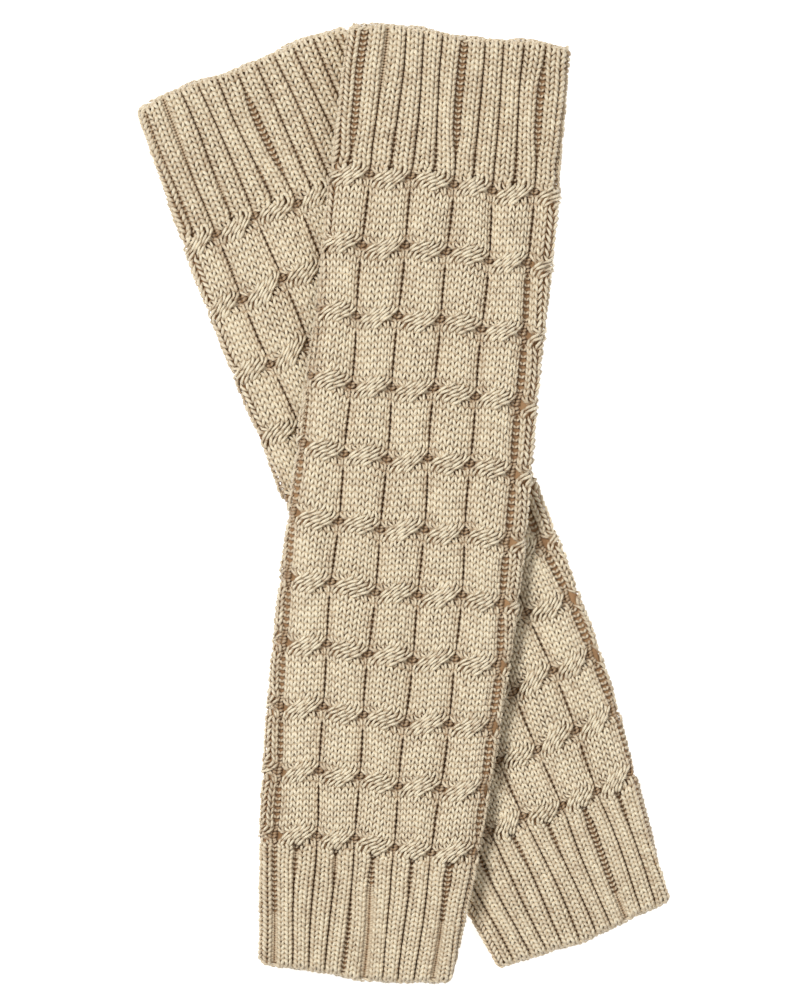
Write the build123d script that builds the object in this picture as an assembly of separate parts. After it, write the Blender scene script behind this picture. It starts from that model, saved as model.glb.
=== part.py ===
"""A pair of long cable-knit fingerless gloves, laid flat and crossed one over the other.

Each glove is a knitted tube, open at the arm end and at the hand end.  Laid flat it has an upper wall
(the back of the hand), a lower wall (the palm), a wide ribbed cuff at the arm end, a narrower ribbed
cuff at the hand end, an edge of yarn at each end, a linked seam inside one fold, and a thumb slit in
the palm wall with an edging round it.

Millimetres.  +Z up, the gloves lie on z = 0, +Y runs from the hand ends to the arm ends, and the origin
is at the middle of the underside.
"""
import os

from build123d import *

# The knitted tube, laid flat
FABRIC = 3.0  # one layer of knitting, with its ribs and cables
HOLLOW = 6.0  # height left inside between the two layers
TUBE = 2 * FABRIC + HOLLOW  # height of a flattened tube
FOLD_RADIUS = 0.49 * TUBE  # outside rounding of the side folds
INNER_FOLD_RADIUS = 0.48 * HOLLOW
RUN_PAST = 10.0  # a blank is made this much too long at each end, then cut square

# Lengths along a glove, from the hand end
EDGE = 2.0  # the cast-on edge at the hand end, and the bind-off edge at the arm end
HAND_CUFF = 43.0
ARM_CUFF = 48.0

# The seam: a ridge of linking stitches, inside along one fold
SEAM_DEPTH = 2.5
SEAM_HEIGHT = 3.0

# The thumb slit in the palm wall
SLIT_LENGTH = 36.0
SLIT_WIDTH = 9.0
SLIT_EDGING = 2.0
SLIT_FROM_CUFF = 26.0  # middle of the slit, above the hand cuff
SLIT_SIDEWAYS = 19.0  # middle of the slit, towards the thumb's side

# How the two gloves lie: the height of the underside, the place of the middle, the turn from +Y,
# the side of the thumb (+1 is towards +X), and half the width at heights along the glove
LAYER_GAP = 0.3
GLOVES = {
    "lower": {
        "length": 327.0,
        "middle": (0.63, 0.55),
        "turn": 14.0,
        "base": 0.0,
        "thumb_side": -1,
        "half_widths": [(0, 32.4), (43, 37.5), (75, 40.5), (150, 41.8), (225, 42.2), (275, 41.2), (327, 37.2)],
    },
    "upper": {
        "length": 330.0,
        "middle": (-1.77, -0.55),
        "turn": -14.0,
        "base": TUBE + LAYER_GAP,
        "thumb_side": 1,
        "half_widths": [(0, 33.5), (43, 37.6), (100, 40.6), (165, 41.0), (225, 39.8), (275, 39.8), (330, 38.5)],
    },
}


def blank(glove, inset, height, fold_radius):
    """A solid bar with the glove's outline, drawn in by the inset, and with rounded side folds."""
    stations = glove["half_widths"]
    (low_y, low_half), (high_y, high_half) = stations[0], stations[-1]
    stations = [(low_y - RUN_PAST, low_half), *stations[1:-1], (high_y + RUN_PAST, high_half)]
    right = [(half - inset, y) for y, half in stations]
    left = [(-x, y) for x, y in reversed(right)]
    outline = [Spline(*right), Line(right[-1], left[0]), Spline(*left), Line(left[-1], right[0])]
    bar = extrude(make_face(outline), amount=height)
    folds = [e for e in bar.edges() if e.geom_type == GeomType.BSPLINE]
    return Pos(0, 0, (TUBE - height) / 2) * fillet(folds, fold_radius)


def stretch(y_from, y_to, z_from=-1.0, z_to=TUBE + 1.0):
    """A wide box between two places along the glove, for cutting a stretch out of the tube."""
    wide = 200.0
    place = Pos(0, (y_from + y_to) / 2, (z_from + z_to) / 2)
    return place * Box(wide, y_to - y_from, z_to - z_from)


def slit(glove, margin=0.0):
    """The space of the thumb slit through the palm wall, grown by a margin all round."""
    place = Pos(glove["thumb_side"] * SLIT_SIDEWAYS, HAND_CUFF + SLIT_FROM_CUFF, 0)
    shape = SlotOverall(SLIT_LENGTH + 2 * margin, SLIT_WIDTH + 2 * margin, rotation=90)
    return place * extrude(shape, amount=FABRIC)


def seam_ridge(glove, hollow):
    """The linked seam: a ridge against the inside of the fold on the side away from the thumb."""
    side = -glove["thumb_side"]
    crescent = hollow - Pos(-side * SEAM_DEPTH, 0, 0) * hollow
    middle = stretch(EDGE, glove["length"] - EDGE, (TUBE - SEAM_HEIGHT) / 2, (TUBE + SEAM_HEIGHT) / 2)
    half = Pos(side * 50, glove["length"] / 2, TUBE / 2) * Box(100, glove["length"], TUBE)
    return crescent & middle & half


def make_glove(glove):
    """All the pieces of one glove, by name, in the glove's own frame."""
    length = glove["length"]
    hollow = blank(glove, FABRIC, HOLLOW, INNER_FOLD_RADIUS)
    tube = blank(glove, 0.0, TUBE, FOLD_RADIUS) - hollow
    body_top = length - ARM_CUFF
    palm = tube & stretch(HAND_CUFF, body_top, z_to=TUBE / 2)
    return {
        "cast_on_edge": tube & stretch(0, EDGE),
        "hand_cuff": tube & stretch(EDGE, HAND_CUFF),
        "palm_panel": palm - slit(glove, SLIT_EDGING),
        "thumb_edging": slit(glove, SLIT_EDGING) - slit(glove),
        "back_panel": tube & stretch(HAND_CUFF, body_top, z_from=TUBE / 2),
        "side_seam": seam_ridge(glove, hollow),
        "arm_cuff": tube & stretch(body_top, length - EDGE),
        "bind_off_edge": tube & stretch(length - EDGE, length),
    }


def lay(glove, piece):
    """Put a piece of a glove where the glove lies."""
    x, y = glove["middle"]
    place = Pos(x, y, glove["base"]) * Rot(0, 0, glove["turn"]) * Pos(0, -glove["length"] / 2, 0)
    return place * piece


os.makedirs("parts", exist_ok=True)
pair = []
for name, glove in GLOVES.items():
    for piece_name, piece in make_glove(glove).items():
        laid = lay(glove, piece)
        laid.label = f"{name}_{piece_name}"
        export_step(laid, f"parts/{laid.label}.step")
        pair.append(laid)

box = Compound(children=pair).bounding_box()
print("size", box.size, "middle", box.center())
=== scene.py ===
"""A crossed pair of long cable-knit fingerless gloves, laid flat.

Two knitted tubes in oatmeal yarn.  Each leg of a knit stitch and each purl bump is a short piece of
yarn, placed by the knitting chart and wrapped round the tube.  Lengths are in millimetres until lay().
"""
import math

import bmesh
import bpy
import numpy as np
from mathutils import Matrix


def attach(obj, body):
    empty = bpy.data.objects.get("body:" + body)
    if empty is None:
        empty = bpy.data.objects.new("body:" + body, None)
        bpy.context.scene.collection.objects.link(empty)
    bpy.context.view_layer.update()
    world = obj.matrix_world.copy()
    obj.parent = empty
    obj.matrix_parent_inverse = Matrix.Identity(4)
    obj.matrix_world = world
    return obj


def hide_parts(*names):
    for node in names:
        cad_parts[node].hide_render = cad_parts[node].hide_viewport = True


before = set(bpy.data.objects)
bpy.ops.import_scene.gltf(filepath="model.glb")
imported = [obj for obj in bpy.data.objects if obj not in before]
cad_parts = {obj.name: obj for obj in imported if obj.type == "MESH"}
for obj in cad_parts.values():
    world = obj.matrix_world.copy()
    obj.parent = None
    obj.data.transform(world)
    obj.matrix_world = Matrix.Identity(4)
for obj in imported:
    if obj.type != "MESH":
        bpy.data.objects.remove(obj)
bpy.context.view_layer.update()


# --- The knitted tubes, as they lie --------------------------------------------------------------
# Each glove is a tube of one fabric, open at both ends and pressed nearly flat.  The lower glove lies on
# the table, and the upper one lies across it and droops where nothing holds it up.  start and twist say
# where the first cable begins round the tube.  gaping lists the purl gutters that are pulled open: which
# one, counted in half cables from the left fold, from and to which height, and how wide.
MM = 0.001
TUBE_MIDDLE = 6.1  # height of a tube's middle above its own underside
FOLD = 1.9  # radius of the fabric's middle where it turns over at the side folds
SIDE_RELIEF = 0.9  # how far ribs and cables stand out from the fabric's middle at the folds
DROOP = 8.0
DROOP_REACH = 46.0  # the droop is complete that far outside the lower glove
DROOP_START = 6.0  # and begins that far inside its edge
END_REACH = 30.0  # an end's wave fades out that far from it
GLOVES = {
    "lower": {
        "length": 327.0,
        "middle": (0.63, 0.55),
        "turn": math.radians(14.0),
        "base": 0.0,
        "thumb_side": -1,
        "half_widths": [
            (0, 32.4),
            (43, 37.5),
            (75, 40.5),
            (150, 41.8),
            (225, 42.2),
            (275, 41.4),
            (327, 39.0),
        ],
        "seed": 11,
        "start": 0.0515,
        "twist": -0.00026,
        "gaping": [
            (0, 235, 340, 2.4),
            (2, 300, 340, 1.4),
            (6, 284, 322, 2.4),
            (10, -10, 170, 2.2),
            (0, 130, 215, 1.2),
            (7, -10, 44, 2.0),
        ],
    },
    "upper": {
        "length": 330.0,
        "middle": (-1.77, -0.55),
        "turn": math.radians(-14.0),
        "base": 12.2,
        "thumb_side": 1,
        "half_widths": [
            (0, 33.5),
            (43, 37.6),
            (100, 40.6),
            (165, 41.0),
            (225, 39.8),
            (275, 39.8),
            (330, 38.5),
        ],
        "seed": 23,
        "start": 0.0407,
        "twist": -0.00016,
        "gaping": [
            (1, 286, 340, 2.2),
            (2, 305, 340, 1.4),
            (6, 286, 340, 2.4),
            (10, 288, 326, 2.0),
            (0, -10, 190, 1.3),
            (10, 50, 262, 1.8),
            (4, -10, 32, 1.0),
            (5, -10, 40, 2.6),
            (9, -10, 50, 1.5),
        ],
    },
}
# Where a cable splits into two ribs, the gutter between them starts open.
for glove in GLOVES.values():
    for gutter in range(1, 22, 2):
        glove["gaping"] += [(gutter, 29, 46, 1.8), (gutter, 282, 298, 1.0)]


def ease(t):
    """0 to 1, with a level start and end."""
    t = np.clip(t, 0.0, 1.0)
    return t * t * (3.0 - 2.0 * t)


def half_width(glove, along):
    """Half the flat width of the glove at places along it, as a smooth line through its stations."""
    y, h = np.array(glove["half_widths"], float).T
    slope = np.gradient(h, y)
    along = np.clip(along, y[0], y[-1])
    i = np.clip(np.searchsorted(y, along, side="right") - 1, 0, len(y) - 2)
    step = y[i + 1] - y[i]
    t = (along - y[i]) / step
    rise = ease(t)
    ends = t * (1 - t) * step * (slope[i] * (1 - t) - slope[i + 1] * t)
    return h[i] + (h[i + 1] - h[i]) * rise + ends


def girth(glove, along):
    """Length once round the tube, along the fabric's middle."""
    flat = 2 * (half_width(glove, along) - SIDE_RELIEF - FOLD)
    return 2 * flat + 2 * math.pi * FOLD


def end_bow(glove, across, along, upwards):
    """How far the two ends wave: rounded corners, and ribs that end unevenly."""
    start = glove["seed"]
    wave = 0.7 * np.sin(5 * across + start) + 0.35 * np.sin(13 * across + 2 * start + 2 * upwards)
    corner = 2.6 * np.abs(across) ** 7
    at_arm = ease((along - glove["length"] + END_REACH) / END_REACH)
    at_hand = ease((END_REACH - along) / END_REACH)
    under = np.where(upwards < 0, 0.7, 0.0)
    return at_arm * (wave - 0.5 * corner + 1.0 + under) + at_hand * (wave + corner)


def on_tube(glove, around, along, lift):
    """Places on the flattened tube and the way out there, in the glove's own frame.

    around runs from 0 at the left fold, over the back of the hand, to 1 after the palm.
    """
    core = half_width(glove, along) - SIDE_RELIEF - FOLD
    flat, quarter = 2 * core, math.pi * FOLD / 2
    run = np.mod(around, 1.0) * (2 * flat + 4 * quarter)
    turned = (
        np.clip(run / FOLD, 0, math.pi / 2)
        + np.clip((run - quarter - flat) / FOLD, 0, math.pi)
        + np.clip((run - 3 * quarter - 2 * flat) / FOLD, 0, math.pi / 2)
    )
    across = -core + np.clip(run - quarter, 0, flat) - np.clip(run - 3 * quarter - flat, 0, flat)
    out = np.stack([-np.cos(turned), np.zeros_like(turned), np.sin(turned)], -1)
    bow = end_bow(glove, across / (core + FOLD), along, out[..., 2])
    place = np.stack([across, along + bow - glove["length"] / 2, np.zeros_like(across)], -1)
    return place + out * (FOLD + lift)[..., None], out


def turn_flat(points, angle):
    """Turn points about the upright axis."""
    c, s = math.cos(angle), math.sin(angle)
    x, y = points[..., 0].copy(), points[..., 1].copy()
    return np.stack([c * x - s * y, s * x + c * y, points[..., 2]], -1)


def droop(places):
    """How far the upper glove hangs down at places, by their distance outside the lower glove."""
    under = GLOVES["lower"]
    local = turn_flat(places - np.array([*under["middle"], 0.0]), -under["turn"])
    along = local[..., 1] + under["length"] / 2
    beside = np.abs(local[..., 0]) - half_width(under, along) + DROOP_START
    beyond = np.maximum(-along, along - under["length"])
    outside = np.hypot(np.maximum(beside, 0), np.maximum(beyond, 0))
    return DROOP * ease(outside / DROOP_REACH)


def lay(glove, places):
    """Places in the glove's own frame, put where the glove lies, in metres."""
    laid = turn_flat(places, glove["turn"]) + np.array([*glove["middle"], 0.0])
    laid[..., 2] += glove["base"] + TUBE_MIDDLE
    if glove["base"] > 0:
        laid[..., 2] -= droop(laid)
    return laid * MM


# --- The knitting chart --------------------------------------------------------------------------
# Eleven cables go round each glove.  A cable is seven stitches: one purl gutter and six knit stitches in
# the body, which turn into two ribs of two knit stitches in both cuffs.  At a crossing the three stitches
# of the front strand pass over the three of the back strand.
CABLES = 11
REPEAT = 7
WALES = CABLES * REPEAT
HAND_CUFF_COURSES = 25
BODY_COURSES = 103
ARM_CUFF_COURSES = 24
COURSES = HAND_CUFF_COURSES + BODY_COURSES + ARM_CUFF_COURSES
BODY_END = HAND_CUFF_COURSES + BODY_COURSES
FIRST_CROSSING = HAND_CUFF_COURSES + 1.5
CROSSING_EVERY = 10
CROSSINGS = 11
EDGE = 1.0  # the stitches start and end that far from the ends
MARKED_LENGTH = 330.0  # length of the glove that the height marks are for
COURSE_MARKS = [0, 25, 76.5, 126.5, 128, COURSES]
HEIGHT_MARKS = [EDGE, 43.5, 157.3, 278.8, 282.2, MARKED_LENGTH - EDGE]
LOOSER = 0.22  # the courses near a crossing lie that much further apart
END_COURSE = 1.9  # height of a course past the ends
RIB_TURN = 3.0  # courses in which cables turn into ribs
BODY_GUTTER = 1.15  # width of the purl gutter that shows between two cables
RIB_GUTTER = 0.7
GAPE_REACH = 7.0  # a gaping gutter pushes its neighbours aside as far as that
GAPE_FADE = 12.0  # it opens and closes over that height
STRAND = 3  # stitches in a strand
FRONT_REACH = 4.6  # half the length along the glove in which the front strand crosses
FRONT_LATE = 0.3  # how far its crossing lies towards the arm
BACK_REACH = 3.2
BACK_EARLY = -0.3
FRONT_SPREAD = 0.3  # how much a strand spreads for its slope
BACK_SPREAD = 0.05
NEAR_CROSSING = 3.4  # the cable rises, dips and swells within about that height of a crossing
FRONT_RISE = 0.45
BACK_DIP = 0.5
BACK_FLAT = 0.4  # share of its own crown that the back strand loses under the front one
STRAND_HALF = 1.6  # half a strand's rounded width, in stitches
STRAND_CROWN = 0.5
CROSSING_SWELL = 0.24  # how much wider a cable is where it crosses
CABLE_CROWN = 2.9
ROLL = 0.2  # how far a cable's sides turn down, which narrows its outer stitches
STRIP_SHARE = 0.55  # how far the two legs of a stitch turn side by side in a crossing
STRIP_SIDE = 0.25  # their distance from the stitch's middle there, in widths of the stitch
STRIP_NEAR = 3.2
RIB_CROWN = 1.7
GUTTER_DEPTH = 0.4
PURL_ASIDE = 0.4  # the purl bumps move that far to the left beside a crossing
FOLD_RELIEF = 0.55  # share of the relief that is left at the side folds
FOLD_RELIEF_REACH = 9.0
PALM_RELIEF = 0.75


def height_of(glove, course):
    """Height along the glove of a course, counted from the hand end, with looser courses at a crossing."""
    scale = glove["length"] / MARKED_LENGTH
    loose = LOOSER * np.sin(2 * math.pi * (course - FIRST_CROSSING) / CROSSING_EVERY)
    body = ease((course - HAND_CUFF_COURSES) / RIB_TURN) * ease((BODY_END - course) / RIB_TURN)
    outside = END_COURSE * (np.minimum(course, 0) + np.maximum(course - COURSES, 0))
    return scale * (np.interp(course, COURSE_MARKS, HEIGHT_MARKS) + loose * body + outside)


def ribbed(course):
    """1 in the cuffs and 0 in the body."""
    up = ease((course - (HAND_CUFF_COURSES - RIB_TURN / 2)) / RIB_TURN)
    down = ease((course - (BODY_END - RIB_TURN / 2)) / RIB_TURN)
    return 1 - up * (1 - down)


def relief(round_it, around):
    """How much of its relief the fabric keeps: less at the side folds and under the glove."""
    run = np.mod(around, 1.0)
    beside = np.minimum(np.abs(np.mod(run + 0.25, 0.5) - 0.25), 0.5) * round_it
    kept = FOLD_RELIEF + (1 - FOLD_RELIEF) * ease(beside / FOLD_RELIEF_REACH)
    return kept * np.where(run > 0.5, PALM_RELIEF, 1.0)


def unevenness(glove, around, along):
    """Small drifts of hand-laid knitting: how far a place is pushed sideways and along."""
    turn = 2 * math.pi * around / girth(glove, along)
    start = glove["seed"]
    sideways = 0.4 * np.sin(along / 21 + 2 * turn + start) + 0.3 * np.sin(along / 9 + 5 * turn)
    lengthways = 0.7 * np.sin(3 * turn + along / 47 + start) + 0.7 * np.sin(8 * turn - along / 33)
    return sideways, lengthways


def gape(glove, around, along):
    """How far a gaping gutter pushes the stitches beside it."""
    round_it = girth(glove, along)
    push = 0 * around
    for gutter, low, high, wide in glove["gaping"]:
        beside = np.mod(around - gutter * round_it / (2 * CABLES) + round_it / 2, round_it) - round_it / 2
        here = ease((along - low) / GAPE_FADE) * ease((high - along) / GAPE_FADE)
        side = np.clip(beside / 0.4, -1, 1)
        push = push + wide / 2 * here * side * np.exp(-np.abs(beside) / GAPE_REACH)
    return push


def crossing_turn(off, reach):
    """How much of a crossing is done at a distance from its middle, and how fast it goes there."""
    t = np.clip(off / reach, -1, 1)
    return ease((t + 1) / 2), 1.5 * (1 - t * t) / (2 * reach)


def chart(glove, wale, course, side, own):
    """Where a stitch's yarn lies: the fraction round the tube, the height along it, and the lift.

    wale and course count stitches; side is how far the yarn lies to the right of the middle of its
    stitch, as a share of the stitch's width.  own is the course of the stitch that the yarn belongs to,
    which settles whether it has been through the nearest crossing.
    """
    cable, stitch = wale // REPEAT, wale % REPEAT
    along = height_of(glove, course)
    round_it = girth(glove, along)
    pitch = round_it / CABLES
    rib = ribbed(course)
    spot = stitch - 1
    purl = (stitch == 0) | (((stitch == 3) | (stitch == 4)) & (rib > 0.5))

    body_width = (pitch - BODY_GUTTER) / 6
    in_body = np.where(stitch == 0, 0.0, BODY_GUTTER / 2 + body_width * (spot + 0.5))
    rib_width = (pitch / 2 - RIB_GUTTER) / 2
    second = stitch > 4
    in_rib = np.where(second, pitch / 2, 0) + RIB_GUTTER / 2 + rib_width * (spot - 4 * second + 0.5)
    in_rib = np.where(stitch == 0, 0.0, np.where((stitch == 3) | (stitch == 4), pitch / 2, in_rib))
    width = body_width * (1 - rib) + rib_width * rib

    nearest = np.clip(np.round((own - FIRST_CROSSING) / CROSSING_EVERY), 0, CROSSINGS - 1)
    crossing_course = FIRST_CROSSING + CROSSING_EVERY * nearest
    off = along - height_of(glove, crossing_course)
    past = own > crossing_course
    knit = stitch > 0
    front = knit & np.where(past, spot >= STRAND, spot < STRAND)
    back = knit & ~front
    front_done, front_rate = crossing_turn(off - FRONT_LATE, FRONT_REACH)
    back_done, back_rate = crossing_turn(off + BACK_EARLY, BACK_REACH)
    travel = STRAND * body_width
    slope = np.where(front, front_rate, np.where(back, -back_rate, 0.0)) * travel
    spread = 1 + np.where(front, FRONT_SPREAD, BACK_SPREAD) * np.abs(slope)
    within = np.mod(spot, STRAND) - 1
    middle = BODY_GUTTER / 2 + body_width * STRAND / 2
    middle = middle + travel * np.where(front, front_done, 1 - back_done)
    crossed = np.where(knit, middle + within * body_width * spread, in_body)
    across = in_body * (1 - rib) + in_rib * rib + crossed - in_body

    near = np.exp(-((off / NEAR_CROSSING) ** 2))
    level = STRIP_SHARE * np.exp(-((off / STRIP_NEAR) ** 4))
    side = np.where(front, side + (STRIP_SIDE * np.sign(side) - side) * level, side)
    lean = np.arctan(slope)
    tight = np.cos(lean)
    offset = side * width * spread * tight
    across = across + offset * tight
    along = along - offset * np.sin(lean)

    across = np.where(knit, across + CROSSING_SWELL * near * (1 - rib) * (across - pitch / 2), across)
    share = np.clip(across / pitch, 0, 1)
    rolled = pitch * (0.5 + 0.5 * np.sin((share - 0.5) * math.pi)) - across
    across = np.where(knit, across + ROLL * rolled * (1 - rib) * (1 - near), across)
    crown = CABLE_CROWN * (1 - np.abs(2 * share - 1) ** 2.0)
    rib_share = np.mod(2 * share, 1.0)
    rib_crown = RIB_CROWN * (1 - np.abs(2 * rib_share - 1) ** 2.4)
    lift = crown * (1 - rib) + rib_crown * rib
    rounded = STRAND_CROWN * (1 - ((within + side) / STRAND_HALF) ** 2)
    lift = lift + np.where(front, (FRONT_RISE + rounded) * near, 0)
    lift = np.where(back, lift * (1 - BACK_FLAT * near) - BACK_DIP * near, lift)
    lift = np.where(purl, -GUTTER_DEPTH, lift)
    across = across - np.where(purl, PURL_ASIDE * near, 0)
    across = cable * pitch + across
    across = across + gape(glove, across, along)
    sideways, lengthways = unevenness(glove, across, along)
    around = (across + sideways) / round_it + glove["start"] + glove["twist"] * along
    along = along + lengthways * (1 - rib)
    lift = np.where(lift > 0, lift * relief(round_it, around), lift)
    return around, along, lift, width * spread * tight


# --- The thumb slit ------------------------------------------------------------------------------
# A slit in the palm side, above the hand cuff and towards the thumb.
SLIT_LENGTH = 36.0
SLIT_WIDTH = 9.0
SLIT_HEIGHT = 69.0  # its middle, from the hand end
SLIT_SIDEWAYS = 19.0


def beside_slit(glove, around, along):
    """How far places on the palm side are from the edge of the thumb slit; negative in the slit."""
    place, out = on_tube(glove, around, along, np.zeros_like(along))
    across = place[..., 0] - glove["thumb_side"] * SLIT_SIDEWAYS
    straight = SLIT_LENGTH / 2 - SLIT_WIDTH / 2
    up = along - SLIT_HEIGHT
    up = up - np.clip(up, -straight, straight)
    return np.where(out[..., 2] < 0, np.hypot(across, up) - SLIT_WIDTH / 2, 99.0)


# --- The stitches: yarn laid by the chart ----------------------------------------------------------
# Every leg of a knit stitch and every purl bump is a short piece of two-ply yarn along a path of a few
# points.  One node tree turns the paths into yarn.
LEG_PLACES = (0.0, 0.33, 0.67, 1.0)  # a path's points, as shares of its length
LEG_THICKNESS = (0.5, 1.05, 1.05, 0.45)
LEG_LIFT = (-0.35, 0.4, 0.4, -0.5)
# Painted light and shade along each leg: dark at its ends, where it dives under the neighbouring loops, and
# light in its middle.
LEG_PAINTED_SHADING = (-0.52, 0.15, 0.15, -0.44)
LIFT_PAINTED_SHADE = 0.14  # painted shade: yarn is that much lighter for each millimetre that it stands out, so darker deep in the knit
TONED_LIFTS = (-0.5, 2.4)
EVEN_LIFT = 1.4
LEG_OVERLAP = 0.2  # a leg runs on that share of a course below and above its own
CROSSING_PART = 0.09  # in a crossing they overlap by that much less
CROSSING_COURSES = 1.6  # a crossing counts within about that many courses
LEG_FOOT = 0.05  # a leg starts that share of a stitch's width from the stitch's middle
LEG_TOP = 0.46
YARN_RADIUS = 0.51
FULL_STITCH = 2.33  # width of a stitch that is knitted with yarn of that radius
BASE_TONE = 0.33
PURL_RADIUS = 0.46
PURL_REACH = 1.3  # half the width of a purl bump
PURL_SLANT = 1.1
# Purl bumps lie deep in the gutters and get a darker tone than the knit: painted shade.
PURL_SHADED_TONE = 0.12
PIT_REACH = 0.4  # beside a crossing the purl bumps lie wider, and painted shade makes them darker there
PIT_PAINTED_SHADE = 0.4


def yarn_tree():
    """The node tree that turns paths into yarn: a tube of the carried thickness along each path."""
    tree = bpy.data.node_groups.new("lay_yarn", "GeometryNodeTree")
    face = tree.interface
    face.new_socket("Paths", in_out="INPUT", socket_type="NodeSocketGeometry")
    sides = face.new_socket("Sides", in_out="INPUT", socket_type="NodeSocketInt")
    sides.default_value = 6
    face.new_socket("Yarn", in_out="INPUT", socket_type="NodeSocketMaterial")
    face.new_socket("Stitches", in_out="OUTPUT", socket_type="NodeSocketGeometry")
    nodes, links = tree.nodes, tree.links
    given = nodes.new("NodeGroupInput")
    result = nodes.new("NodeGroupOutput")

    rails = nodes.new("GeometryNodeMeshToCurve")
    links.new(given.outputs["Paths"], rails.inputs["Mesh"])
    thick = nodes.new("GeometryNodeInputNamedAttribute")
    thick.data_type = "FLOAT"
    thick.inputs["Name"].default_value = "thick"
    ring = nodes.new("GeometryNodeCurvePrimitiveCircle")
    ring.mode = "RADIUS"
    ring.inputs["Radius"].default_value = 1.0
    links.new(given.outputs["Sides"], ring.inputs["Resolution"])
    marked = nodes.new("GeometryNodeStoreNamedAttribute")
    marked.data_type = "FLOAT_VECTOR"
    marked.inputs["Name"].default_value = "ring"
    place = nodes.new("GeometryNodeInputPosition")
    links.new(ring.outputs[0], marked.inputs["Geometry"])
    links.new(place.outputs[0], marked.inputs["Value"])
    body = nodes.new("GeometryNodeCurveToMesh")
    body.inputs["Fill Caps"].default_value = True
    links.new(rails.outputs[0], body.inputs["Curve"])
    links.new(marked.outputs[0], body.inputs["Profile Curve"])
    links.new(thick.outputs["Attribute"], body.inputs["Scale"])
    smooth = nodes.new("GeometryNodeSetShadeSmooth")
    links.new(body.outputs[0], smooth.inputs["Geometry"])
    real = nodes.new("GeometryNodeRealizeInstances")
    links.new(smooth.outputs[0], real.inputs[0])
    painted = nodes.new("GeometryNodeSetMaterial")
    links.new(real.outputs[0], painted.inputs["Geometry"])
    links.new(given.outputs["Yarn"], painted.inputs["Material"])
    links.new(painted.outputs[0], result.inputs[0])
    return tree


YARN_TREE = yarn_tree()


def yarn_material(name, light, dark, roughness):
    """Two-ply yarn: plies twisted round each leg, fine fibres, and painted shade: darker in the grooves
    between the plies and, through the tone attribute, deep in the knit.
    """
    mat = bpy.data.materials.new(name)
    mat.use_nodes = True
    nodes, links = mat.node_tree.nodes, mat.node_tree.links
    nodes.clear()
    out = nodes.new("ShaderNodeOutputMaterial")
    shader = nodes.new("ShaderNodeBsdfPrincipled")
    shader.inputs["Roughness"].default_value = roughness
    shader.inputs["Specular IOR Level"].default_value = 0.5
    shader.inputs["Sheen Weight"].default_value = 0.25
    shader.inputs["Sheen Roughness"].default_value = 0.5
    links.new(shader.outputs[0], out.inputs["Surface"])

    ring = nodes.new("ShaderNodeAttribute")
    ring.attribute_name = "ring"
    parts = nodes.new("ShaderNodeSeparateXYZ")
    links.new(ring.outputs["Vector"], parts.inputs[0])
    along = nodes.new("ShaderNodeAttribute")
    along.attribute_name = "run"

    def calc(operation, first, second=None):
        node = nodes.new("ShaderNodeMath")
        node.operation = operation
        for slot, value in enumerate((first, second)):
            if value is None:
                continue
            if isinstance(value, (int, float)):
                node.inputs[slot].default_value = value
            else:
                links.new(value, node.inputs[slot])
        return node.outputs[0]

    angle = calc("ARCTAN2", parts.outputs["Y"], parts.outputs["X"])
    turns = calc("ADD", angle, calc("MULTIPLY", along.outputs["Fac"], PLY_TURN))
    ply = calc("ABSOLUTE", calc("SINE", turns))

    coords = nodes.new("ShaderNodeTexCoord")
    fibre = nodes.new("ShaderNodeTexNoise")
    fibre.inputs["Scale"].default_value = 1400.0
    fibre.inputs["Detail"].default_value = 3.0
    links.new(coords.outputs["Object"], fibre.inputs["Vector"])
    patch = nodes.new("ShaderNodeTexNoise")
    patch.inputs["Scale"].default_value = 60.0
    patch.inputs["Detail"].default_value = 2.0
    links.new(coords.outputs["Object"], patch.inputs["Vector"])
    tone = nodes.new("ShaderNodeAttribute")
    tone.attribute_name = "tone"

    # The ply stripes darken the grooves between the plies with painted shade, and the tone attribute brings
    # random tone and painted shade; the two noises are the yarn's own uneven tone.
    shade = calc("MULTIPLY", ply, 0.12)
    shade = calc("ADD", shade, calc("MULTIPLY", fibre.outputs["Fac"], 0.3))
    shade = calc("ADD", shade, calc("MULTIPLY", patch.outputs["Fac"], 0.2))
    shade = calc("ADD", shade, tone.outputs["Fac"])
    ramp = nodes.new("ShaderNodeValToRGB")
    ramp.color_ramp.elements[0].position = 0.0
    ramp.color_ramp.elements[0].color = (*dark, 1.0)
    ramp.color_ramp.elements[1].position = 1.0
    ramp.color_ramp.elements[1].color = (*light, 1.0)
    links.new(shade, ramp.inputs["Fac"])
    links.new(ramp.outputs["Color"], shader.inputs["Base Color"])

    height = calc("ADD", calc("MULTIPLY", ply, 0.7), calc("MULTIPLY", fibre.outputs["Fac"], 0.5))
    bump = nodes.new("ShaderNodeBump")
    bump.inputs["Strength"].default_value = 0.5
    bump.inputs["Distance"].default_value = 0.0002
    links.new(height, bump.inputs["Height"])
    links.new(bump.outputs["Normal"], shader.inputs["Normal"])
    return mat


PLY_TURN = 2.4  # turn of the plies in a millimetre
KNIT_LIGHT = (0.90, 0.79, 0.58)
# KNIT_DARK is the colour that the painted shade darkens the yarn towards.
KNIT_DARK = (0.34, 0.20, 0.092)
knit_yarn = yarn_material("knit_yarn", KNIT_LIGHT, KNIT_DARK, 0.48)


def set_input(modifier, tree, name, value):
    """Set a named input of the node tree on a modifier, by the socket's identifier."""
    for item in tree.interface.items_tree:
        if item.item_type == "SOCKET" and item.in_out == "INPUT" and item.name == name:
            modifier[item.identifier] = value


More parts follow.
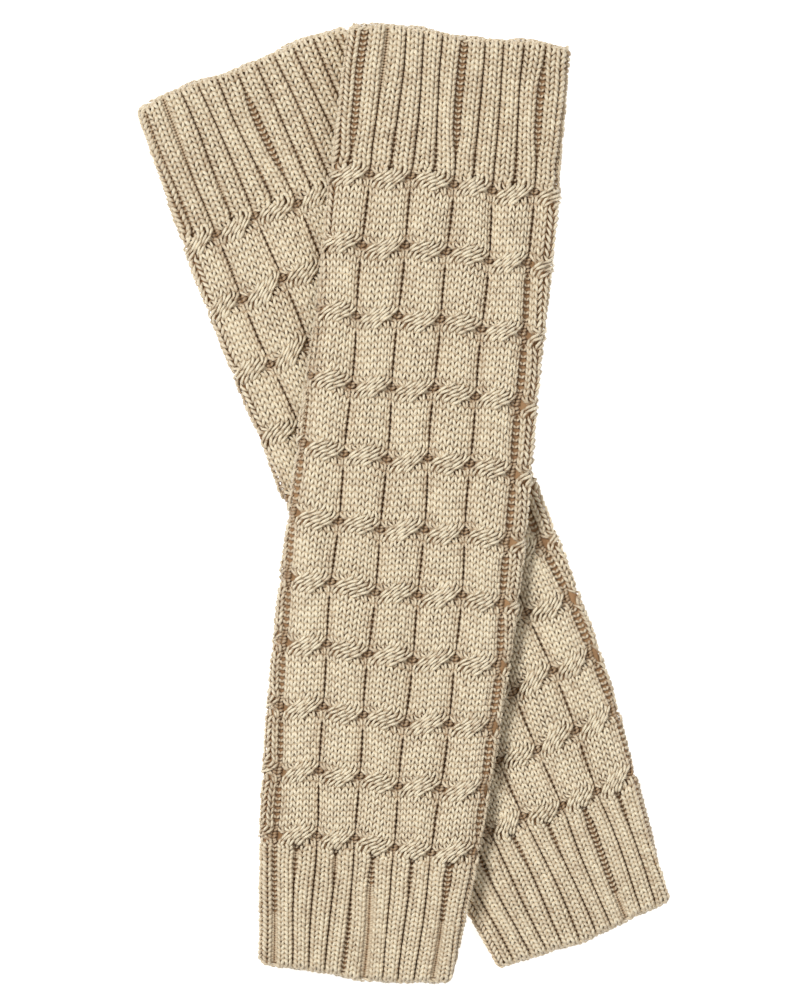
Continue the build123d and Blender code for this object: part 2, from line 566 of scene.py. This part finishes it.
def lay_yarn(name, paths, thick, tone, material, sides=6):
    """One mesh of short pieces of yarn.  paths holds each piece's points, in metres."""
    count, points = paths.shape[:2]
    step = np.linalg.norm(np.diff(paths, axis=1), axis=2) / MM
    run = np.concatenate([np.zeros((count, 1)), np.cumsum(step, axis=1)], axis=1)
    plan = bpy.data.meshes.new(name + "_plan")
    plan.vertices.add(count * points)
    plan.vertices.foreach_set("co", paths.astype(np.float32).ravel())
    first = (np.arange(count)[:, None] * points + np.arange(points - 1)).ravel()
    plan.edges.add(len(first))
    plan.edges.foreach_set("vertices", np.stack([first, first + 1], -1).ravel())
    for key, values in (("thick", thick * MM), ("tone", tone), ("run", run)):
        layer = plan.attributes.new(key, "FLOAT", "POINT")
        layer.data.foreach_set("value", np.broadcast_to(values, (count, points)).astype(np.float32).ravel())
    holder = bpy.data.objects.new(name + "_plan", plan)
    bpy.context.scene.collection.objects.link(holder)
    modifier = holder.modifiers.new("yarn", "NODES")
    modifier.node_group = YARN_TREE
    set_input(modifier, YARN_TREE, "Sides", sides)
    set_input(modifier, YARN_TREE, "Yarn", material)
    view = bpy.context.evaluated_depsgraph_get()
    mesh = bpy.data.meshes.new_from_object(holder.evaluated_get(view))
    holder.modifiers.remove(modifier)
    bpy.data.objects.remove(holder)
    mesh.name = name
    mesh.attributes.remove(mesh.attributes["thick"])
    piece = bpy.data.objects.new(name, mesh)
    bpy.context.scene.collection.objects.link(piece)
    return piece


def at_crossing(course):
    """1 at the courses where the cables cross, falling to 0 beside them."""
    off = np.mod(course - FIRST_CROSSING + CROSSING_EVERY / 2, CROSSING_EVERY) - CROSSING_EVERY / 2
    return (1 - ribbed(course)) * np.exp(-((off / CROSSING_COURSES) ** 2))


def knit(glove_name, piece_name, wales, courses, sides=6):
    """The stitches of some wales and courses of a glove.

    A knit stitch has two legs.  A purl stitch has a bump in two halves, and a second bump where its
    gutter gapes or lies beside a crossing.
    """
    glove = GLOVES[glove_name]
    rng = np.random.default_rng(glove["seed"] + int(courses[0]) + 7 * int(wales[0]))
    wale, course = (a.ravel() for a in np.meshgrid(wales, courses, indexing="ij"))
    course = course.astype(float)
    stitch = wale % REPEAT
    rib = ribbed(course + 0.5) > 0.5
    purl = (stitch == 0) | ((stitch == 3) & rib)
    around, along, _, _ = chart(glove, wale, course + 0.5, 0 * course, course + 0.5)
    kept = ~((stitch == 4) & rib) & (beside_slit(glove, around, along) > 0.3)
    wale, course, purl = wale[kept], course[kept], purl[kept]
    places, thickness, lifts, shades = (np.array(x) for x in (LEG_PLACES, LEG_THICKNESS, LEG_LIFT, LEG_PAINTED_SHADING))
    paths, thick, tone = [], [], []

    w, c = wale[~purl, None], course[~purl, None]
    for side in (-1, 1):
        overlap = LEG_OVERLAP - CROSSING_PART * at_crossing(c + 0.5)
        spot = c + places * (1 + 2 * overlap) - overlap
        sideways = side * (LEG_FOOT + (LEG_TOP - LEG_FOOT) * places)
        around, along, lift, width = chart(glove, w, spot, sideways + 0 * spot, c + 0.5)
        wobble = rng.normal(0, 0.12, (len(c), 1))
        path, _ = on_tube(glove, around, along, lift + lifts + wobble)
        paths.append(lay(glove, path))
        size = YARN_RADIUS * np.clip(width / FULL_STITCH, 0.9, 1.25) * rng.normal(1, 0.08, (len(c), 1))
        thick.append(size * thickness)
        # Painted shade: legs dark at their ends and where they lie deep in the knit, lighter where they stand
        # out.
        shade = BASE_TONE + shades + rng.normal(0, 0.10, (len(c), 1))
        tone.append(shade + LIFT_PAINTED_SHADE * (np.clip(lift, *TONED_LIFTS) - EVEN_LIFT))

    w, c = wale[purl, None], course[purl, None] + 0.5
    around, along, _, _ = chart(glove, w, c, 0.0 * c, c)
    round_it = girth(glove, along)
    opened = np.clip(gape(glove, (around - glove["start"]) * round_it + 0.8, along), 0, 1.5)
    pit = at_crossing(c)
    wide = (opened + pit > 0.35)[:, 0]
    everywhere = np.ones_like(wide)
    for late, slant, rows in ((0.0, PURL_SLANT, everywhere), (0.5, 0.4 * PURL_SLANT, wide)):
        here = c[rows] + late
        around, along, lift, _ = chart(glove, w[rows], here, 0.0 * here, here)
        more = opened[rows] + PIT_REACH * pit[rows]
        for side in (-1, 1):
            reach = side * (PURL_REACH + more) * places / girth(glove, along)
            path, _ = on_tube(glove, around + reach, along + slant * (places - 0.3), lift + lifts)
            paths.append(lay(glove, path))
            thick.append(PURL_RADIUS * (1 + 0.3 * more) * thickness)
            # Purl bumps: a darker tone as painted shade in the gutters, darker still in the pits beside a
            # crossing.
            shade = rng.normal(PURL_SHADED_TONE, 0.07, (len(here), 1)) - PIT_PAINTED_SHADE * pit[rows]
            tone.append(shade + shades)
    return lay_yarn(
        f"{glove_name}_{piece_name}", *(np.concatenate(x) for x in (paths, thick, tone)), knit_yarn, sides
    )


BACK_WALES = np.arange(0, 39)
PALM_WALES = np.arange(39, WALES)
SPLIT = HAND_CUFF_COURSES + 51
YARN_SIDES = {"back_panel": 6, "palm_panel": 4, "hand_cuff": 5, "arm_cuff": 5}
stitch_pieces = {"lower": [], "upper": []}
for glove_name in GLOVES:
    for piece_name, node, wales, first, last in (
        ("hand_cuff_stitches", "hand_cuff", np.arange(WALES), 0, HAND_CUFF_COURSES),
        ("back_hand_cables", "back_panel", BACK_WALES, HAND_CUFF_COURSES, SPLIT),
        ("back_arm_cables", "back_panel", BACK_WALES, SPLIT, BODY_END),
        ("palm_hand_cables", "palm_panel", PALM_WALES, HAND_CUFF_COURSES, SPLIT),
        ("palm_arm_cables", "palm_panel", PALM_WALES, SPLIT, BODY_END),
        ("arm_cuff_stitches", "arm_cuff", np.arange(WALES), BODY_END, COURSES),
    ):
        piece = knit(glove_name, piece_name, wales, np.arange(first, last), YARN_SIDES[node])
        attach(piece, f"{glove_name}_glove")
        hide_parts(f"{glove_name}_{node}")
        stitch_pieces[glove_name].append(piece)


# --- The two ends: cast-on and bind-off edges ------------------------------------------------------
# At each end the yarn of every wale turns over the rim into the glove, under a chain that runs round it.
RIM_TURN = ((1.5, 0.35), (0.2, 0.45), (-0.55, -0.5), (0.1, -1.5), (1.6, -1.9))  # height from the end, lift
RIM_RADIUS = 0.5
CHAIN_RADIUS = 0.5


def rim(glove_name, at_arm):
    """The edge of one end of a glove."""
    glove = GLOVES[glove_name]
    rng = np.random.default_rng(glove["seed"] + 100 + at_arm)
    end, inwards = (glove["length"] - EDGE, -1) if at_arm else (EDGE, 1)
    course = COURSES if at_arm else 0
    wale = np.arange(WALES)
    wale = wale[wale % REPEAT != 4]
    paths, thick, tone = [], [], []
    for side in (-0.25, 0.25):
        c = np.full((len(wale), 1), float(course))
        around, _, lift, _ = chart(glove, wale[:, None], c, side + 0 * c, c)
        heights, lifts = np.array(RIM_TURN).T
        wave = rng.normal(0, 0.12, (len(wale), 1))
        along = end + inwards * (heights - 0.4) + wave + 0 * around
        lift = np.where(lifts > -1, 0.6 * lift, 0) + lifts
        path, _ = on_tube(glove, around + 0 * along, along, lift)
        paths.append(lay(glove, path))
        size = RIM_RADIUS * rng.normal(1, 0.05, (len(wale), 1))
        thick.append(size * np.array((0.6, 1, 1, 1, 0.6)))
        tone.append(0.36 + rng.normal(0, 0.05, (len(wale), 1)) + 0 * lift)
    c = np.full((len(wale), 1), float(course))
    spot = np.linspace(-0.15, 1.15, 5)
    next_wale = np.roll(wale, -1)[:, None]
    here, _, low, _ = chart(glove, wale[:, None], c, 0 * c, c)
    there, _, high, _ = chart(glove, next_wale, c, 0 * c, c)
    there = np.where(there < here, there + 1, there)
    around = here + (there - here) * spot
    slant = 0.5 * np.sin((spot - 0.5) * math.pi)
    lift = 0.5 * np.clip(low + (high - low) * spot, -0.3, 1) - 0.3 + 0.4 * (1 - (2 * spot - 1) ** 2)
    path, _ = on_tube(glove, around, end - inwards * (0.75 + slant) + 0 * around, lift)
    paths.append(lay(glove, path))
    thick.append(CHAIN_RADIUS * rng.normal(1, 0.05, (len(wale), 1)) * np.array((0.55, 1, 1, 1, 0.55)))
    tone.append(0.36 + rng.normal(0, 0.05, (len(wale), 1)) + 0 * around)
    name = "bind_off" if at_arm else "cast_on"
    return lay_yarn(f"{glove_name}_{name}", *(np.concatenate(x) for x in (paths, thick, tone)), edge_yarn)


edge_yarn = yarn_material("edge_yarn", KNIT_LIGHT, KNIT_DARK, 0.55)
for glove_name in GLOVES:
    for at_arm, node in ((False, "cast_on_edge"), (True, "bind_off_edge")):
        piece = rim(glove_name, at_arm)
        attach(piece, f"{glove_name}_glove")
        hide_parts(f"{glove_name}_{node}")
        stitch_pieces[glove_name].append(piece)


# --- The thumb slit's edging -----------------------------------------------------------------------
# Yarn whipped over the edge of the slit all the way round, along a cord of laid-in yarn.
EDGING_EVERY = 1.25
EDGING_OUT = 0.6
EDGING_IN = -2.1


def thumb_edging(glove_name):
    """The whipped edging of one glove's thumb slit."""
    glove = GLOVES[glove_name]
    rng = np.random.default_rng(glove["seed"] + 200)
    straight, bend = SLIT_LENGTH - SLIT_WIDTH, SLIT_WIDTH / 2
    total = 2 * straight + 2 * math.pi * bend
    count = round(total / EDGING_EVERY)

    def on_edge(run, outside):
        """Places round the slit, that far outside its edge, as distances across and along from its middle."""
        run = np.mod(run, total)
        arc = math.pi * bend
        turned = np.clip((run - straight) / bend, 0, math.pi)
        turned = turned + np.clip((run - 2 * straight - arc) / bend, 0, math.pi)
        up = -straight / 2 + np.clip(run, 0, straight) - np.clip(run - straight - arc, 0, straight)
        reach = bend + outside
        return reach * np.cos(turned), up + reach * np.sin(turned)

    def at(run, outside, lift):
        """The same places on the palm, in metres."""
        across, up = on_edge(run, outside)
        along = SLIT_HEIGHT + up
        across = across + glove["thumb_side"] * SLIT_SIDEWAYS
        flat = half_width(glove, along) - SIDE_RELIEF - FOLD
        quarter = math.pi * FOLD / 2
        around = (3 * quarter + 3 * flat - across) / girth(glove, along)
        path, _ = on_tube(glove, around, along, lift + 0 * along)
        return lay(glove, path)

    run = (np.arange(count) * total / count)[:, None]
    lean = np.linspace(-0.6, 0.6, 5)
    turn = np.linspace(0.15, 0.95, 5) * math.pi
    outside = 1.5 - 1.9 * np.sin(turn)
    middle, height = (EDGING_OUT + EDGING_IN) / 2, (EDGING_OUT - EDGING_IN) / 2
    whips = at(run + lean, outside + 0 * run, middle + height * np.cos(turn) + 0 * run)
    spot = np.linspace(-0.1, 1.1, 5) * total / count
    cords = at(run + spot, -0.1 + 0 * run, middle + 0 * run)
    thick = np.concatenate([np.full((count, 5), 0.55), np.full((count, 5), 0.7)])
    # The cord under the whips gets a darker tone, which is painted shade.
    tone = np.concatenate([rng.normal(0.36, 0.05, (count, 1)), rng.normal(0.1, 0.05, (count, 1))])
    return lay_yarn(f"{glove_name}_thumb_edge", np.concatenate([whips, cords]), thick, tone, edge_yarn)


for glove_name in GLOVES:
    piece = thumb_edging(glove_name)
    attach(piece, f"{glove_name}_glove")
    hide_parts(f"{glove_name}_thumb_edging")
    stitch_pieces[glove_name].append(piece)


# --- The linked seam inside the glove ----------------------------------------------------------------
# Inside the fold away from the thumb, a ridge of linking stitches runs from end to end.
SEAM_EVERY = 2.0
SEAM_SPREAD = 1.3
seam_yarn = yarn_material("seam_yarn", (0.80, 0.68, 0.50), KNIT_DARK, 0.6)


def linked_seam(glove_name):
    """The linking stitches of one glove: slanted pieces over a ridge, inside the fold."""
    glove = GLOVES[glove_name]
    rng = np.random.default_rng(glove["seed"] + 300)
    along = np.arange(2.5, glove["length"] - 2.5, SEAM_EVERY)[:, None]
    fold = 0.5 if glove["thumb_side"] < 0 else 0.0
    spot = np.linspace(-1, 1, 5)
    around = fold + SEAM_SPREAD * spot / girth(glove, along)
    lift = -1.6 - 1.1 * (1 - spot**2)
    path, _ = on_tube(glove, around, along + 0.9 * spot, lift + 0 * along)
    thick = 0.55 * rng.normal(1, 0.05, along.shape) * np.array((0.6, 1, 1, 1, 0.6))
    tone = rng.normal(0.3, 0.05, along.shape)
    return lay_yarn(f"{glove_name}_linked_seam", lay(glove, path), thick, tone, seam_yarn)


for glove_name in GLOVES:
    piece = linked_seam(glove_name)
    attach(piece, f"{glove_name}_glove")
    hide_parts(f"{glove_name}_side_seam")
    stitch_pieces[glove_name].append(piece)


# --- The ground of the fabric ----------------------------------------------------------------------
# Behind the stitches runs the closed cloth of the tube: what shows deep between the stitches, and the
# ridged wrong side of the knitting inside the glove.  It has a hole for the thumb.
GROUND_OUT = -1.0
GROUND_IN = -1.5
FOLD_FILL = 0.72  # at the folds the ground follows that share of the cables' and ribs' relief
FOLD_FILL_REACH = 5.0
AROUND_STEPS = 132
RIDGE = 0.25


def ground(glove_name):
    """The closed tube of cloth behind the stitches."""
    glove = GLOVES[glove_name]
    rows = COURSES + 1
    course = np.linspace(0, COURSES, rows)
    along = height_of(glove, course)
    around = np.arange(AROUND_STEPS) / AROUND_STEPS
    a, v = np.meshgrid(around, along)
    c = np.broadcast_to(course[:, None], a.shape)
    beside = np.minimum(np.abs(np.mod(a + 0.25, 0.5) - 0.25), 0.5) * girth(glove, v)
    share = np.mod((a - glove["start"] - glove["twist"] * v) * CABLES, 1.0)
    crown = CABLE_CROWN * (1 - np.abs(2 * share - 1) ** 2)
    rib_crown = RIB_CROWN * (1 - np.abs(2 * np.mod(2 * share, 1.0) - 1) ** 2.4)
    crown = crown * (1 - ribbed(c)) + rib_crown * ribbed(c)
    outer, _ = on_tube(glove, a, v, GROUND_OUT + FOLD_FILL * crown * (1 - ease(beside / FOLD_FILL_REACH)))
    ridges = RIDGE * np.cos(math.pi * c)
    inner, _ = on_tube(glove, a, v, GROUND_IN - ridges)
    points = np.concatenate([lay(glove, outer).reshape(-1, 3), lay(glove, inner).reshape(-1, 3)])

    row, column = np.meshgrid(np.arange(rows - 1), np.arange(AROUND_STEPS), indexing="ij")
    middle_around = (column + 0.5) / AROUND_STEPS
    middle_along = (along[row] + along[row + 1]) / 2
    cloth = beside_slit(glove, middle_around, middle_along) > 0.3
    n, inside = AROUND_STEPS, rows * AROUND_STEPS
    faces = []
    for i in range(rows - 1):
        for j in range(n):
            if not cloth[i, j]:
                continue
            k = (j + 1) % n
            corners = (i * n + j, i * n + k, (i + 1) * n + k, (i + 1) * n + j)
            faces.append(corners[::-1])
            faces.append([x + inside for x in corners])
            beside = (
                i == 0 or not cloth[i - 1, j],
                not cloth[i, k],
                i == rows - 2 or not cloth[i + 1, j],
                not cloth[i, j - 1],
            )
            for edge, is_open in enumerate(beside):
                if is_open:
                    p, q = corners[edge], corners[(edge + 1) % 4]
                    faces.append((p, q, q + inside, p + inside))
    mesh = bpy.data.meshes.new(f"{glove_name}_ground")
    mesh.from_pydata(points.tolist(), [], faces)
    body = bmesh.new()
    body.from_mesh(mesh)
    bmesh.ops.delete(body, geom=[v for v in body.verts if not v.link_faces], context="VERTS")
    bmesh.ops.recalc_face_normals(body, faces=body.faces)
    body.to_mesh(mesh)
    body.free()
    mesh.polygons.foreach_set("use_smooth", [True] * len(mesh.polygons))
    mesh.materials.append(ground_cloth)
    piece = bpy.data.objects.new(f"{glove_name}_ground", mesh)
    bpy.context.scene.collection.objects.link(piece)
    return piece


def ground_material():
    """The wrong side of the knitting: the same yarn, painted dark for the shade it lies in."""
    mat = bpy.data.materials.new("ground_cloth")
    mat.use_nodes = True
    nodes, links = mat.node_tree.nodes, mat.node_tree.links
    shader = nodes["Principled BSDF"]
    shader.inputs["Roughness"].default_value = 0.8
    coords = nodes.new("ShaderNodeTexCoord")
    noise = nodes.new("ShaderNodeTexNoise")
    noise.inputs["Scale"].default_value = 500.0
    links.new(coords.outputs["Object"], noise.inputs["Vector"])
    ramp = nodes.new("ShaderNodeValToRGB")
    ramp.color_ramp.elements[0].color = (0.22, 0.11, 0.045, 1)
    ramp.color_ramp.elements[1].color = (0.50, 0.30, 0.145, 1)
    links.new(noise.outputs["Fac"], ramp.inputs["Fac"])
    links.new(ramp.outputs["Color"], shader.inputs["Base Color"])
    return mat


ground_cloth = ground_material()
for glove_name, glove in GLOVES.items():
    piece = ground(glove_name)
    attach(piece, f"{glove_name}_glove")


# --- The table and the light -------------------------------------------------------------------------
# A plain white table, a large soft lamp from the upper left and a wide fill from above.
def table():
    """The plain white table top."""
    bpy.ops.mesh.primitive_plane_add(size=4.0, location=(0, 0, -0.0002))
    top = bpy.context.object
    top.name = "table"
    mat = bpy.data.materials.new("white_table")
    mat.use_nodes = True
    shader = mat.node_tree.nodes["Principled BSDF"]
    shader.inputs["Base Color"].default_value = (0.9, 0.9, 0.9, 1)
    shader.inputs["Roughness"].default_value = 0.9
    shader.inputs["Emission Color"].default_value = (1, 1, 1, 1)
    shader.inputs["Emission Strength"].default_value = 0.75
    top.data.materials.append(mat)


def lamp(name, place, size, power):
    """A square soft lamp that points at the middle of the gloves."""
    data = bpy.data.lights.new(name, "AREA")
    data.size = size
    data.energy = power
    obj = bpy.data.objects.new(name, data)
    obj.location = place
    x, y, z = place
    flat = math.hypot(x, y)
    obj.rotation_euler = (math.atan2(flat, z), 0, math.atan2(x, -y))
    bpy.context.scene.collection.objects.link(obj)


table()
lamp("key", (-1.1, 0.95, 2.6), 0.8, 67.0)
lamp("fill", (0.9, -0.2, 1.8), 1.2, 9.5)
world = bpy.data.worlds.new("studio")
world.use_nodes = True
world.node_tree.nodes["Background"].inputs["Color"].default_value = (1, 1, 1, 1)
world.node_tree.nodes["Background"].inputs["Strength"].default_value = 0.2
bpy.context.scene.world = world
bpy.context.scene.view_settings.view_transform = "Standard"

# --- The camera, straight above with a long lens ------------------------------------------------------
CAMERA_HEIGHT = 3.0
FRAME_HEIGHT = 0.349
CAMERA_ROLL = math.radians(-7.6)
camera_data = bpy.data.cameras.new("camera")
camera_data.sensor_width = 36.0
camera_data.lens = 36.0 * (CAMERA_HEIGHT - 0.018) / FRAME_HEIGHT
camera = bpy.data.objects.new("camera", camera_data)
camera.location = (-0.0040, 0.0025, CAMERA_HEIGHT)
camera.rotation_euler = (0, 0, CAMERA_ROLL)
bpy.context.scene.collection.objects.link(camera)
bpy.context.scene.camera = camera
